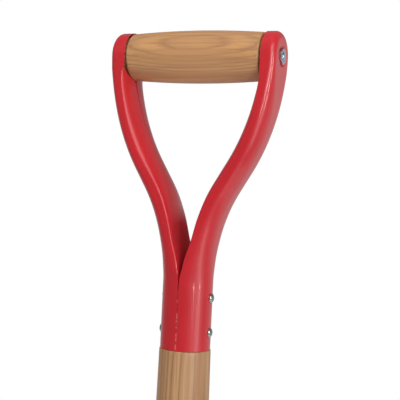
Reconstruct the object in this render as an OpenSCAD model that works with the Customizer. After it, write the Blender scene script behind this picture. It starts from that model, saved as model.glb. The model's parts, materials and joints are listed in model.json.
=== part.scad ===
// Post hole digging spade with a D-shaped handle.
// Millimetres, +Z up. The origin is on the shaft axis, level with the lowest
// point of the cutting edge. -Y is the front, the hollow side of the blade.

/* [Overall] */
// Height of the cross grip's axis above the cutting edge
grip_z = 1130; // [1000:5:1250]
// Distance from the cutting edge to the tread
blade_len = 406; // [350:2:420]
// Height of the socket's mouth above the cutting edge
socket_z = 620; // [560:5:660]

/* [Handle frame] */
// Thickness of the pressed steel sheet
sheet_t = 1.8; // [1.4:0.1:2]
// Distance from the shaft axis to the outer face of each ear
ear_x = 65.6; // [63:0.1:69]
// Radius of each round ear
ear_r = 18.5; // [18:0.1:19]
// Depth of each ear, from its outer face to its rim
ear_depth = 11.3; // [10.5:0.1:12]
// Radius of the rounded edge of each ear
ear_edge_r = 5; // [4:0.5:6]
// Radius of each arm's upper bend, measured on its outer face
upper_bend_r = 172; // [165:1:180]
// Radius of each arm's lower bend, measured on its outer face
lower_bend_r = 113.5; // [105:0.5:118]
// How far each arm leans in, in degrees
arm_lean = 30; // [29:0.5:31]
// Drop from the grip's axis to the crotch, where the two halves meet
crotch_drop = 166; // [166:1:175]
// Drop from the grip's axis to the collar's lower edge
collar_drop = 219.6; // [215:0.2:235]
// Outside radius of the collar
collar_r = 19; // [18.5:0.1:19.4]
// Gap between the rolled edges of an arm, near the grip
arm_seam = 1; // [0.6:0.1:1.2]
// Gap between the two halves of the collar
collar_seam = 0.4; // [0.2:0.1:0.6]

/* [Cross grip] */
// Length of the grip between its two shoulders
grip_len = 105.8; // [100:0.2:107]
// Radius of the grip at its middle
grip_mid_r = 19.8; // [18:0.1:20.5]
// Radius of the grip at its shoulders
grip_end_r = 17.8; // [17:0.1:18]
// Radius of the turned ends that sit inside the ears
spigot_r = 15.5; // [13:0.1:16]
// Radius of the grip bolt's shank
bolt_r = 3.175; // [3:0.025:3.2]
// Radial running clearance of the grip on its bolt
grip_clearance = 0.05; // [0.02:0.01:0.1]
// Size of the nut across its flats
nut_flats = 11.1; // [10:0.1:12]
// Height of the thin nut
nut_h = 2.2; // [2:0.1:4]
// Length of bolt end that stands out of the nut
bolt_end = 0.6; // [0.6:0.1:2]
// Depth of the round hollow pressed into the right ear for the nut
nut_sink = 1; // [0.5:0.1:1.5]
// Radius of the hollow for the nut
nut_hollow_r = 7.4; // [7.2:0.1:9]
// Radius of the bolt's round head
bolt_head_r = 6.8; // [6:0.1:8]
// Height of the bolt's round head
bolt_head_h = 3; // [2:0.1:3.4]

/* [Shaft] */
// Radius of the shaft just under the collar
shaft_neck_r = 19.5; // [19.3:0.1:20]
// Radius of the shaft over its straight middle
shaft_r = 20.5; // [20.2:0.1:21]
// Radius of the shaft just above the socket
shaft_foot_r = 19.8; // [19:0.1:20]
// Length of the straight middle, the stretch that a wall clip holds
clip_len = 120; // [80:5:140]
// Height of the straight middle's centre above the cutting edge
clip_z = 770; // [760:5:800]

/* [Rivets] */
// Radius of the rivets' shanks
rivet_r = 2.4; // [2:0.1:2.6]
// Radius of a full rivet head
rivet_head_r = 3.5; // [3.4:0.1:4.5]
// Height of a full rivet head
rivet_head_h = 2.2; // [1.8:0.1:2.6]
// Drop from the grip's axis to the upper collar rivet
upper_rivet_drop = 180.3; // [178:0.1:184]
// Drop from the grip's axis to the lower collar rivet
lower_rivet_drop = 206.3; // [202:0.1:208]

/* [Blade and socket] */
// Half the width of the blade at the tread
blade_top_w = 75; // [73:0.5:85]
// Half the width of the blade low down, where the sides would meet the edge level
blade_low_w = 60; // [54:0.5:70]
// Thickness of the blade
blade_t = 2.3; // [2:0.1:3]
// Radius of the blade's hollow
dish_r = 280; // [270:5:500]
// Radius of the rounded cutting edge
edge_r = 95; // [85:1:110]
// Radius of the corners beside the cutting edge
edge_corner_r = 24; // [15:1:28]
// Depth of each tread, forward of the blade
tread_depth = 11; // [9:0.5:12]
// Thickness of each tread
tread_t = 3; // [2.5:0.1:4]
// Outside radius of the socket at its mouth
socket_r = 20.4; // [20:0.1:20.4]
// Outside radius of the socket where it reaches the blade
socket_low_r = 14; // [13:0.1:16]
// Thickness of the socket's wall
socket_t = 1.8; // [1.5:0.1:2]
// Height above the cutting edge at which the socket's ridge ends on the blade
ridge_z = 290; // [260:5:330]

/* [Hidden] */
$fn = 96;
enamel = "#c8323c";
ash = "#c9a06e";
zinc = "#b9c0c4";
steel = "#4a4d50";

// Room round a fastener in its hole, and the hairline between pieces that touch
fit_gap = 0.1;
touch_gap = 0.02;
// Depth to which a shank runs on inside its heads, and depth of a rivet head's hidden underside
rivet_root = 0.8;
head_seat = 0.6;
// Left ends of the two collar rivets, hammered flat and wide: [radius, height]
upper_tail = [rivet_head_r - 0.6, rivet_head_h - 0.9];
lower_tail = [rivet_head_r + 0.4, rivet_head_h];
// Chamfers of the bolt's end and of the nut's corners
bolt_chamfer = 0.5;
nut_chamfer = 0.7;
// Step between the socket's ridge and its tube
ridge_step = 0.4;
// Radius of the ridge at its front tip, and how much higher its back tip ends
ridge_tip_r = 4;
back_ridge_rise = 40;
collar_bore_r = collar_r - sheet_t;
seat_r = 20.7;
ear_bore_r = ear_r - sheet_t + 0.2;
grip_half = grip_len / 2;
spigot_x = ear_x - sheet_t - 2.2;

// Outer face of an arm: an upper bend, a straight stretch and a lower bend
upper_len = upper_bend_r * arm_lean * PI / 180;
lower_len = lower_bend_r * arm_lean * PI / 180;
bend_in = (upper_bend_r + lower_bend_r) * (1 - cos(arm_lean));
straight_len = (ear_x - collar_r - bend_in) / sin(arm_lean);
upper_end = [ear_x - upper_bend_r * (1 - cos(arm_lean)), -upper_bend_r * sin(arm_lean)];
arm_len = upper_len + straight_len + lower_len;
arm_end_z = upper_end[1] - straight_len * cos(arm_lean) - lower_bend_r * sin(arm_lean);
crotch_s = arm_len + crotch_drop + arm_end_z;

// Section of an arm at some drops below the grip's axis, for a crotch at key_drop:
// [drop, depth, half width, outer corner radius, inner corner radius]
key_drop = 166;
arm_keys = [
    [0, ear_depth, ear_r, ear_edge_r, 1],
    [12, 11.6, 18.5, 5.5, 3],
    [25, 12, 18.4, 6.5, 5],
    [75, 13.2, 17.7, 7, 6],
    [95, 13.8, 17.3, 7.5, 6],
    [110, 13.6, 17.5, 8.5, 4.5],
    [125, 13, 18, 10, 2.5],
    [140, 13, 18.3, 12, 1.5],
    [155, 17, 18.7, 16, 1],
    [key_drop, collar_r - collar_seam / 2, collar_r, collar_r, 0.8]
];
// Steps down the arm and round its corners, and how far it runs on into the ear and the collar
arm_steps = 26;
outer_steps = 6;
inner_steps = 4;
lap = 1;

// Smooth curve through one column of a table of keys
function slope(keys, i, c) =
    let (a = max(i - 1, 0))
    let (b = min(i + 1, len(keys) - 1))
    (keys[b][c] - keys[a][c]) / (keys[b][0] - keys[a][0]);
function key_below(keys, s) = max([for (i = [0:len(keys) - 2]) if (i == 0 || s >= keys[i][0]) i]);
function smooth(keys, s, c) =
    let (i = key_below(keys, s))
    let (h = keys[i + 1][0] - keys[i][0])
    let (t = min(max((s - keys[i][0]) / h, 0), 1))
    (2 * t * t * t - 3 * t * t + 1) * keys[i][c] + (t * t * t - 2 * t * t + t) * h * slope(keys, i, c)
    + (3 * t * t - 2 * t * t * t) * keys[i + 1][c] + (t * t * t - t * t) * h * slope(keys, i + 1, c);

// Outer face of the right arm at a distance s down it: [x, z below the grip, lean]
function arm_at(s) =
    let (lower_a = (arm_len - s) / lower_len * arm_lean)
    let (upper_a = s / upper_len * arm_lean)
    s <= 0 ? [ear_x, -s, 0]
    : s < upper_len ? [ear_x - upper_bend_r * (1 - cos(upper_a)), -upper_bend_r * sin(upper_a), upper_a]
    : s < upper_len + straight_len ? [
        upper_end[0] - (s - upper_len) * sin(arm_lean),
        upper_end[1] - (s - upper_len) * cos(arm_lean), arm_lean]
    : s < arm_len ? [
        collar_r + lower_bend_r * (1 - cos(lower_a)), arm_end_z + lower_bend_r * sin(lower_a), lower_a]
    : [collar_r, arm_end_z - (s - arm_len), 0];

// One side of a rolled section, from its outer face round to the seam: [inward, sideways]
function half_section(depth, half_w, outer_r, inner_r, edge) =
    let (ro = min(outer_r, half_w - 0.05))
    let (ri = min(inner_r, depth / 2 - 0.1))
    let (reach = depth - ri)
    let (turn = ro <= reach ? 90 : acos((ro - reach) / (ro - ri)))
    let (fold_y = half_w - (ro <= reach ? ri : ro - (ro - ri) * sin(turn)))
    concat(
        [for (i = [0:outer_steps]) let (a = turn * i / (outer_steps + 0.3))
            [ro * (1 - cos(a)), half_w - ro + ro * sin(a)]],
        [for (i = [0:inner_steps]) let (a = turn + (180 - turn) * i / inner_steps)
            [reach - ri * cos(a), fold_y + ri * sin(a)]],
        [[depth, edge]]);

// Section at a drop, moved inside its outer surface by a depth d
function skin(drop, d) =
    let (depth = smooth(arm_keys, drop, 1))
    let (half_w = smooth(arm_keys, drop, 2))
    let (outer_r = smooth(arm_keys, drop, 3))
    let (inner_r = smooth(arm_keys, drop, 4))
    let (edge = (arm_seam + (collar_seam - arm_seam) * max(drop, 0) / crotch_drop) / 2)
    [for (p = half_section(depth - 2 * d, half_w - d, outer_r - d, max(inner_r - d, 0.3), edge))
        [p[0] + d, p[1]]];

// Closed ring of one station: the outer skin from edge to edge, then the inner skin
function both_sides(half) = concat(
    [for (i = [len(half) - 1:-1:0]) [half[i][0], -half[i][1]]], half);
function place(flat, at) = [for (p = flat) [at[0] - p[0] * cos(at[2]), p[1], at[1] + p[0] * sin(at[2])]];
function ring(s, grow) =
    let (at = arm_at(s))
    let (drop = -at[1] * key_drop / crotch_drop)
    concat(
        place(both_sides(skin(drop, -grow)), at),
        place(both_sides(skin(drop, sheet_t + grow)), at));

// One side strip of triangles between two rings of m points
function strip(i, m, a, b) = [
    [i * m + a, i * m + b, (i + 1) * m + b],
    [i * m + a, (i + 1) * m + b, (i + 1) * m + a]];

// Rolled tube of the right arm, from just inside the ear to just inside the collar
module arm_tube() {
    stations = concat(
        [[-lap, -0.06]],
        [for (i = [0:arm_steps]) [crotch_s * i / arm_steps, i == 0 || i == arm_steps ? touch_gap : 0]],
        [[crotch_s + 2 * lap, -0.06]]);
    rings = [for (st = stations) ring(st[0], st[1])];
    m = len(rings[0]);
    n = m / 2;
    last = len(rings) - 1;
    walls = [for (i = [0:last - 1]) for (k = [0:n - 2]) each strip(i, m, k, k + 1)];
    linings = [for (i = [0:last - 1]) for (k = [n:m - 2]) each strip(i, m, k + 1, k)];
    edges = [for (i = [0:last - 1]) each concat(strip(i, m, n, 0), strip(i, m, n - 1, m - 1))];
    top = [for (k = [0:n - 2]) each [[k, n + k + 1, k + 1], [k, n + k, n + k + 1]]];
    foot = [for (k = [0:n - 2]) each [
        [last * m + k, last * m + k + 1, last * m + n + k + 1],
        [last * m + k, last * m + n + k + 1, last * m + n + k]]];
    polyhedron([for (r = rings) each r], concat(walls, linings, edges, top, foot));
}

// Round shell of an ear, upper half only, turned about the bolt's axis
module ear_dish() {
    inner_edge_r = ear_edge_r - sheet_t;
    outer_arc = [for (a = [0:15:90])
        [ear_r - ear_edge_r + ear_edge_r * sin(a), ear_x - ear_edge_r + ear_edge_r * cos(a)]];
    inner_arc = [for (a = [90:-15:0])
        [ear_r - ear_edge_r + inner_edge_r * sin(a), ear_x - ear_edge_r + inner_edge_r * cos(a)]];
    rim_x = ear_x - ear_depth;
    intersection() {
        rotate([0, 90, 0])
            rotate_extrude()
                polygon(concat([[0, ear_x]], outer_arc, [[ear_r, rim_x], [ear_r - sheet_t, rim_x]],
                    inner_arc, [[0, ear_x - sheet_t]]));
        translate([0, -2 * ear_r, 0])
            cube([2 * ear_x, 4 * ear_r, 2 * ear_r]);
    }
}

// Right half of the collar, below the crotch
module collar_half() {
    intersection() {
        translate([0, 0, -collar_drop])
            difference() {
                cylinder(h = collar_drop - crotch_drop, r = collar_r);
                translate([0, 0, -1])
                    cylinder(h = collar_drop, r = collar_bore_r);
            }
        translate([collar_seam / 2, -2 * collar_r, -2 * collar_drop])
            cube([2 * collar_r, 4 * collar_r, 2 * collar_drop]);
    }
}

// Hole along X at a height above the grip's axis
module cross_hole(r, z) {
    translate([0, 0, z])
        rotate([0, 90, 0])
            cylinder(h = 2 * ear_x, r = r);
}

// Right half of the frame: ear, arm and collar in one pressing
module frame_half() {
    translate([0, 0, grip_z])
        difference() {
            union() {
                arm_tube();
                ear_dish();
                collar_half();
            }
            rotate([0, 90, 0])
                cylinder(h = ear_x - ear_depth, r = seat_r);
            rotate([0, 90, 0])
                cylinder(h = ear_x - sheet_t, r = ear_bore_r);
            cross_hole(bolt_r + fit_gap, 0);
            cross_hole(rivet_r + fit_gap, -upper_rivet_drop);
            cross_hole(rivet_r + fit_gap, -lower_rivet_drop);
        }
}

module frame_left_half() {
    color(enamel)
        mirror([1, 0, 0])
            frame_half();
}

// Right half, with a round hollow pressed into its ear so that the nut hardly stands out
module frame_right_half() {
    boss_x = ear_x - sheet_t - nut_sink;
    color(enamel)
        difference() {
            union() {
                frame_half();
                translate([boss_x, 0, grip_z])
                    rotate([0, 90, 0])
                        cylinder(h = nut_sink + sheet_t / 2, r = nut_hollow_r + sheet_t);
            }
            translate([ear_x - nut_sink, 0, grip_z])
                rotate([0, 90, 0])
                    cylinder(h = 2 * nut_sink, r = nut_hollow_r);
            translate([0, 0, grip_z])
                cross_hole(bolt_r + fit_gap, 0);
        }
}

// Barrel-shaped wooden grip that turns on its bolt
module grip() {
    bulge = grip_mid_r - grip_end_r;
    barrel_r = (grip_half * grip_half + bulge * bulge) / (2 * bulge);
    ease = 1.5;
    barrel = [for (i = [-8:8]) let (x = (grip_half - ease) * i / 8)
        [grip_mid_r - barrel_r + sqrt(barrel_r * barrel_r - x * x), x]];
    color(ash)
        translate([0, 0, grip_z])
            rotate([0, 90, 0])
                difference() {
                    rotate_extrude()
                        polygon(concat(
                            [[0, -spigot_x], [spigot_r, -spigot_x], [spigot_r, -grip_half],
                                [grip_end_r - ease, -grip_half]],
                            barrel,
                            [[grip_end_r - ease, grip_half], [spigot_r, grip_half],
                                [spigot_r, spigot_x], [0, spigot_x]]));
                    translate([0, 0, -2 * spigot_x])
                        cylinder(h = 4 * spigot_x, r = bolt_r + grip_clearance);
                }
}

// Domed head of base radius r and height h, standing up from z = 0
module dome(r, h) {
    sphere_r = (r * r + h * h) / (2 * h);
    rise = asin((sphere_r - h) / sphere_r);
    rotate_extrude()
        polygon(concat([[0, 0]],
            [for (i = [0:6]) let (a = rise + (90 - rise) * i / 6)
                [sphere_r * cos(a), max(sphere_r * sin(a) - sphere_r + h, 0)]]));
}

// Long bolt through both ears and the grip, with a round head on the left
module grip_bolt() {
    right_end = ear_x - nut_sink + nut_h + bolt_end;
    color(zinc)
        translate([0, 0, grip_z]) {
            translate([-ear_x - rivet_root, 0, 0])
                rotate([0, 90, 0])
                    cylinder(h = ear_x + rivet_root + right_end - bolt_chamfer, r = bolt_r);
            translate([right_end - bolt_chamfer, 0, 0])
                rotate([0, 90, 0])
                    cylinder(h = bolt_chamfer, r1 = bolt_r, r2 = bolt_r - bolt_chamfer);
            translate([-ear_x, 0, 0])
                rotate([0, -90, 0])
                    dome(bolt_head_r, bolt_head_h);
        }
}

// Thin hexagon nut with chamfered corners, in the hollow of the right ear
module grip_nut() {
    corner_r = nut_flats / sqrt(3);
    color(zinc)
        translate([ear_x - nut_sink, 0, grip_z])
            rotate([0, 90, 0])
                difference() {
                    intersection() {
                        cylinder(h = nut_h, r = corner_r, $fn = 6);
                        cylinder(h = nut_h, r1 = corner_r + 2 * nut_h, r2 = corner_r - nut_chamfer);
                    }
                    translate([0, 0, -1])
                        cylinder(h = nut_h + 2, r = bolt_r + touch_gap);
                }
}

// Solid rivet along X through the collar, with a full head on the right and a hammered tail on the left
module collar_rivet(z, tail) {
    seat = collar_r - head_seat;
    color(zinc)
        translate([0, 0, z]) {
            translate([-collar_r - rivet_root, 0, 0])
                rotate([0, 90, 0])
                    cylinder(h = 2 * (collar_r + rivet_root), r = rivet_r);
            difference() {
                union() {
                    translate([seat, 0, 0])
                        rotate([0, 90, 0])
                            dome(rivet_head_r, rivet_head_h + head_seat);
                    translate([-seat, 0, 0])
                        rotate([0, -90, 0])
                            dome(tail[0], tail[1] + head_seat);
                }
                translate([0, 0, -2 * rivet_head_r])
                    cylinder(h = 4 * rivet_head_r, r = collar_r + touch_gap);
            }
        }
}

module collar_rivet_upper() {
    collar_rivet(grip_z - upper_rivet_drop, upper_tail);
}

module collar_rivet_lower() {
    collar_rivet(grip_z - lower_rivet_drop, lower_tail);
}

// Outside radius of the socket's tube and of its ridge at a height
function socket_outer(z) =
    socket_low_r + (socket_r - socket_low_r) * (z - blade_len) / (socket_z - blade_len);
function ridge_outer(z) =
    ridge_tip_r + (socket_low_r - ridge_step - ridge_tip_r) * (z - ridge_z) / (blade_len + 1 - ridge_z);
socket_rivet_z = [socket_z - 30, socket_z - 75];
shaft_tip_z = blade_len + 12;
shaft_top_z = grip_z - crotch_drop - 2 * lap - 1;

// Ash shaft: tenon in the collar, straight middle for a clip, taper into the socket
module shaft() {
    collar_z = grip_z - collar_drop;
    tenon_r = collar_bore_r - fit_gap;
    socket_wood = socket_t + fit_gap;
    color(ash)
        difference() {
            rotate_extrude()
                polygon([
                    [0, shaft_tip_z], [socket_outer(shaft_tip_z) - socket_wood - 2, shaft_tip_z],
                    [socket_outer(shaft_tip_z + 4) - socket_wood, shaft_tip_z + 4],
                    [socket_outer(socket_z) - socket_wood, socket_z],
                    [shaft_foot_r - 1, socket_z + 1.2], [shaft_foot_r, socket_z + 4],
                    [shaft_r - 0.2, clip_z - clip_len / 2 - 25],
                    [shaft_r, clip_z - clip_len / 2], [shaft_r, clip_z + clip_len / 2],
                    [shaft_r - 0.5, collar_z - 40], [shaft_neck_r, collar_z - 4],
                    [shaft_neck_r - 0.2, collar_z - 0.2], [tenon_r, collar_z - 0.2],
                    [tenon_r, shaft_top_z - 3], [tenon_r - 3, shaft_top_z], [0, shaft_top_z]]);
            for (drop = [upper_rivet_drop, lower_rivet_drop])
                translate([-2 * collar_r, 0, grip_z - drop])
                    rotate([0, 90, 0])
                        cylinder(h = 4 * collar_r, r = rivet_r + touch_gap);
            for (z = socket_rivet_z)
                translate([0, 2 * socket_r, z])
                    rotate([90, 0, 0])
                        cylinder(h = 4 * socket_r, r = rivet_r + touch_gap);
        }
}

// Curved shell that the blade is cut from, from a gap in front to a gap behind it
blade_y = 2;
module dish_shell(front, back, z, h) {
    translate([0, blade_y - dish_r, z])
        difference() {
            cylinder(h = h, r = dish_r + back, $fn = 360);
            translate([0, 0, -1])
                cylinder(h = h + 2, r = dish_r - front, $fn = 360);
        }
}

// Ridge of the socket on one face of the blade: side = 1 at the front or -1 at the back
module ridge(side) {
    foot = side == 1 ? ridge_z : ridge_z + back_ridge_rise;
    top = blade_len + 1;
    intersection() {
        translate([0, 0, foot])
            cylinder(h = top - foot, r1 = ridge_outer(foot), r2 = ridge_outer(top));
        if (side == 1)
            translate([0, blade_y - dish_r, 0])
                cylinder(h = top, r = dish_r - touch_gap, $fn = 360);
        else
            difference() {
                translate([-2 * socket_r, -socket_r, 0])
                    cube([4 * socket_r, 3 * socket_r, top]);
                translate([0, blade_y - dish_r, -1])
                    cylinder(h = top + 2, r = dish_r + blade_t + touch_gap, $fn = 360);
            }
    }
}

// Socket: a tapered tube that runs on as a ridge down both faces of the blade
module socket() {
    pocket_z = blade_len + 10;
    foot_z = blade_len + touch_gap;
    color(steel)
        difference() {
            union() {
                translate([0, 0, foot_z])
                    cylinder(h = socket_z - foot_z, r1 = socket_outer(foot_z), r2 = socket_r);
                ridge(1);
                ridge(-1);
            }
            translate([0, 0, pocket_z])
                cylinder(h = socket_z + 1 - pocket_z, r1 = socket_outer(pocket_z) - socket_t,
                    r2 = socket_outer(socket_z + 1) - socket_t);
            for (z = socket_rivet_z)
                translate([0, 2 * socket_r, z])
                    rotate([90, 0, 0])
                        cylinder(h = 4 * socket_r, r = rivet_r + fit_gap);
        }
}

// Solid rivet along Y through the socket and the shaft
module socket_rivet(z) {
    wall_r = socket_outer(z);
    seat = wall_r - head_seat;
    cone_h = 4 * rivet_head_r;
    color(zinc)
        translate([0, 0, z]) {
            translate([0, wall_r + rivet_root, 0])
                rotate([90, 0, 0])
                    cylinder(h = 2 * (wall_r + rivet_root), r = rivet_r);
            difference() {
                for (side = [-1, 1])
                    translate([0, side * seat, 0])
                        rotate([-90 * side, 0, 0])
                            dome(rivet_head_r, rivet_head_h + head_seat);
                translate([0, 0, -cone_h / 2])
                    cylinder(h = cone_h, r1 = socket_outer(z - cone_h / 2) + touch_gap,
                        r2 = socket_outer(z + cone_h / 2) + touch_gap);
            }
        }
}

module socket_rivet_upper() {
    socket_rivet(socket_rivet_z[0]);
}

module socket_rivet_lower() {
    socket_rivet(socket_rivet_z[1]);
}

// Outline of the blade, seen from the front: straight sides, corner arcs, rounded edge
side_lean = atan((blade_top_w - blade_low_w) / blade_len);
side_k = blade_low_w - edge_corner_r / cos(side_lean);
side_m = tan(side_lean);
quad_a = 1 + side_m * side_m;
quad_b = side_k * side_m - edge_r;
quad_c = side_k * side_k + edge_r * edge_r - (edge_r - edge_corner_r) * (edge_r - edge_corner_r);
corner_z = (-quad_b - sqrt(quad_b * quad_b - quad_a * quad_c)) / quad_a;
corner_x = side_k + side_m * corner_z;
edge_half = atan(corner_x / (edge_r - corner_z));
function blade_side() = concat(
    [for (i = [0:6]) let (a = edge_half * i / 6) [edge_r * sin(a), edge_r * (1 - cos(a))]],
    [for (i = [1:6]) let (a = edge_half + (90 - side_lean - edge_half) * i / 6)
        [corner_x + edge_corner_r * sin(a), corner_z - edge_corner_r * cos(a)]],
    [[blade_top_w - 1, blade_len]]);

// Dished blade with a rounded cutting edge
module blade() {
    right = blade_side();
    left = [for (i = [len(right) - 1:-1:1]) [-right[i][0], right[i][1]]];
    color(steel)
        intersection() {
            dish_shell(0, blade_t, 0, blade_len);
            translate([0, 2 * blade_top_w, 0])
                rotate([90, 0, 0])
                    linear_extrude(4 * blade_top_w)
                        polygon(concat(right, left));
        }
}

// Forward-turned foot tread on the right shoulder of the blade, with a rounded outer corner
tread_corner_r = 5;
tread_corner_back = 12;
module tread() {
    inside = socket_low_r + 1;
    foot_z = blade_len - tread_t;
    corner_y = blade_y - tread_corner_back;
    intersection() {
        dish_shell(tread_depth, -touch_gap, foot_z, tread_t);
        union() {
            translate([inside, -blade_top_w, foot_z])
                cube([blade_top_w - inside - tread_corner_r, 2 * blade_top_w, tread_t]);
            translate([inside, corner_y, foot_z])
                cube([blade_top_w - inside, 2 * tread_corner_back, tread_t]);
            translate([blade_top_w - tread_corner_r, corner_y, foot_z])
                cylinder(h = tread_t, r = tread_corner_r);
        }
    }
}

module tread_left() {
    color(steel)
        mirror([1, 0, 0])
            tread();
}

module tread_right() {
    color(steel)
        tread();
}

frame_left_half();
frame_right_half();
grip();
grip_bolt();
grip_nut();
collar_rivet_upper();
collar_rivet_lower();
shaft();
socket();
socket_rivet_upper();
socket_rivet_lower();
blade();
tread_left();
tread_right();
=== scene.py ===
"""Looks of the post hole digging spade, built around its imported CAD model.

Metres, in the CAD frame: +Z up, -Y to the front, the origin under the shaft at the cutting edge.
"""
import json
import math

import bmesh
import bpy
from mathutils import Matrix, Vector


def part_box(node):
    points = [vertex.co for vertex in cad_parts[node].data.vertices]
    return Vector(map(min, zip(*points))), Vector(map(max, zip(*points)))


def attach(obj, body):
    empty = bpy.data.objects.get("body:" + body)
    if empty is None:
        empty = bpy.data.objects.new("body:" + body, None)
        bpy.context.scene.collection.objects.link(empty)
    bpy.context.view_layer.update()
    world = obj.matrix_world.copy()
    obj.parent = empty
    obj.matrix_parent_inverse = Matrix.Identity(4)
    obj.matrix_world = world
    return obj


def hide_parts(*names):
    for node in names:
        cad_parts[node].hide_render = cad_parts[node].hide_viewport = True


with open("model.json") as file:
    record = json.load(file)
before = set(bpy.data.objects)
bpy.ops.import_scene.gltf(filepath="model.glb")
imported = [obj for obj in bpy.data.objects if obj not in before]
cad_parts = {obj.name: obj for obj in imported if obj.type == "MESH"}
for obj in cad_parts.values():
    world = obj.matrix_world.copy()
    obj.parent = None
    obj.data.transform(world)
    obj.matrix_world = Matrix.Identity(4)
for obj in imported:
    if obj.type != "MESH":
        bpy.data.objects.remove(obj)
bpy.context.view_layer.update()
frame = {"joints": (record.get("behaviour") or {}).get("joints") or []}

MM = 0.001

# ---------------------------------------------------------------- sizes read from the frame
GRIP_Z = frame["joints"][0]["pos_m"][2]
half_low, half_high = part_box("frame_right_half")
EAR_X = half_high.x
COLLAR_R = half_high.y
COLLAR_DROP = GRIP_Z - half_low.z

# ---------------------------------------------------------------- sizes that several parts share
SHEET = 1.8 * MM    # thickness of the frame's pressed steel
EDGE_R = 95 * MM    # radius of the blade's cutting edge
X_AXIS, Y_AXIS, Z_AXIS = (1, 0, 0), (0, 1, 0), (0, 0, 1)
AXIS_POINT = Vector((0, 0, GRIP_Z))


def clamp(value):
    """A value held between 0 and 1."""
    return min(max(value, 0), 1)


def eased(t):
    """Goes from 0 to 1 with t, and starts and ends gently."""
    return t * t * (3 - 2 * t)


# ---------------------------------------------------------------- mesh tools
def shape(name, build):
    """Turns a bmesh into an object of the scene with smooth shading."""
    bmesh.ops.recalc_face_normals(build, faces=build.faces)
    mesh = bpy.data.meshes.new(name)
    build.to_mesh(mesh)
    build.free()
    for face in mesh.polygons:
        face.use_smooth = True
    made = bpy.data.objects.new(name, mesh)
    bpy.context.scene.collection.objects.link(made)
    return made


def put(name, build, body, nodes, material, sharp):
    """Makes a piece from a bmesh and gives it its body, the CAD nodes it stands for and its finish.

    Edges that turn by more than sharp, in degrees, stay crisp."""
    piece = shape(name, build)
    piece.data.set_sharp_from_angle(angle=math.radians(sharp))
    piece.data.materials.append(material)
    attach(piece, body)
    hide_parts(*nodes)
    return piece


def bridge(build, a, b):
    """Joins two rings of as many vertices with quads."""
    for k in range(len(a)):
        n = (k + 1) % len(a)
        build.faces.new((a[k], a[n], b[n], b[k]))


def poled_face(build, *corners):
    """A face whose corners may hold a pole twice; it is left out if they are fewer than three."""
    different = tuple(dict.fromkeys(corners))
    if len(different) > 2:
        build.faces.new(different)


def loft(build, rings, cap=True):
    """Joins rings of as many points with quads, and caps the first and the last ring."""
    rows = [[build.verts.new(p) for p in ring] for ring in rings]
    for a, b in zip(rows, rows[1:]):
        bridge(build, a, b)
    if cap:
        build.faces.new(rows[0])
        build.faces.new(rows[-1])
    return rows


def revolve(build, profile, origin, axis, steps):
    """Turns a profile of (radius, distance along the axis) about an axis; a radius of 0 makes a pole."""
    along = Vector(axis).normalized()
    side = along.orthogonal().normalized()
    other = along.cross(side)
    rows = []
    for radius, distance in profile:
        centre = Vector(origin) + along * distance
        if radius < 1e-7:
            rows.append([build.verts.new(centre)])
            continue
        ring = []
        for k in range(steps):
            a = 2 * math.pi * k / steps
            ring.append(build.verts.new(centre + (side * math.cos(a) + other * math.sin(a)) * radius))
        rows.append(ring)
    for a, b in zip(rows, rows[1:]):
        for k in range(steps):
            n = (k + 1) % steps
            poled_face(build, a[k % len(a)], a[n % len(a)], b[n % len(b)], b[k % len(b)])
    return rows


def arc(centre, radius, start, end, steps):
    """Points (radius, distance) on an arc about (radius, distance) = centre; angles in degrees."""
    angles = [math.radians(start + (end - start) * k / steps) for k in range(steps + 1)]
    return [(centre[0] + radius * math.cos(a), centre[1] + radius * math.sin(a)) for a in angles]


def resample(path, count):
    """A path as count + 1 points, spread evenly along it."""
    lengths = [0.0]
    for a, b in zip(path, path[1:]):
        lengths.append(lengths[-1] + (b - a).length)
    out = []
    i = 0
    for k in range(count + 1):
        want = lengths[-1] * k / count
        while i < len(path) - 2 and lengths[i + 1] < want:
            i += 1
        part = max(lengths[i + 1] - lengths[i], 1e-9)
        out.append(path[i].lerp(path[i + 1], clamp((want - lengths[i]) / part)))
    return out


def smooth_keys(keys, s, column):
    """Smooth curve through one column of a table whose first column is the distance s."""
    last = len(keys) - 1
    i = max([k for k in range(last) if k == 0 or s >= keys[k][0]])

    def slope(k):
        a, b = max(k - 1, 0), min(k + 1, last)
        return (keys[b][column] - keys[a][column]) / (keys[b][0] - keys[a][0])

    h = keys[i + 1][0] - keys[i][0]
    t = clamp((s - keys[i][0]) / h)
    return ((2 * t ** 3 - 3 * t ** 2 + 1) * keys[i][column] + (t ** 3 - 2 * t ** 2 + t) * h * slope(i)
            + (3 * t ** 2 - 2 * t ** 3) * keys[i + 1][column] + (t ** 3 - t ** 2) * h * slope(i + 1))


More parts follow.
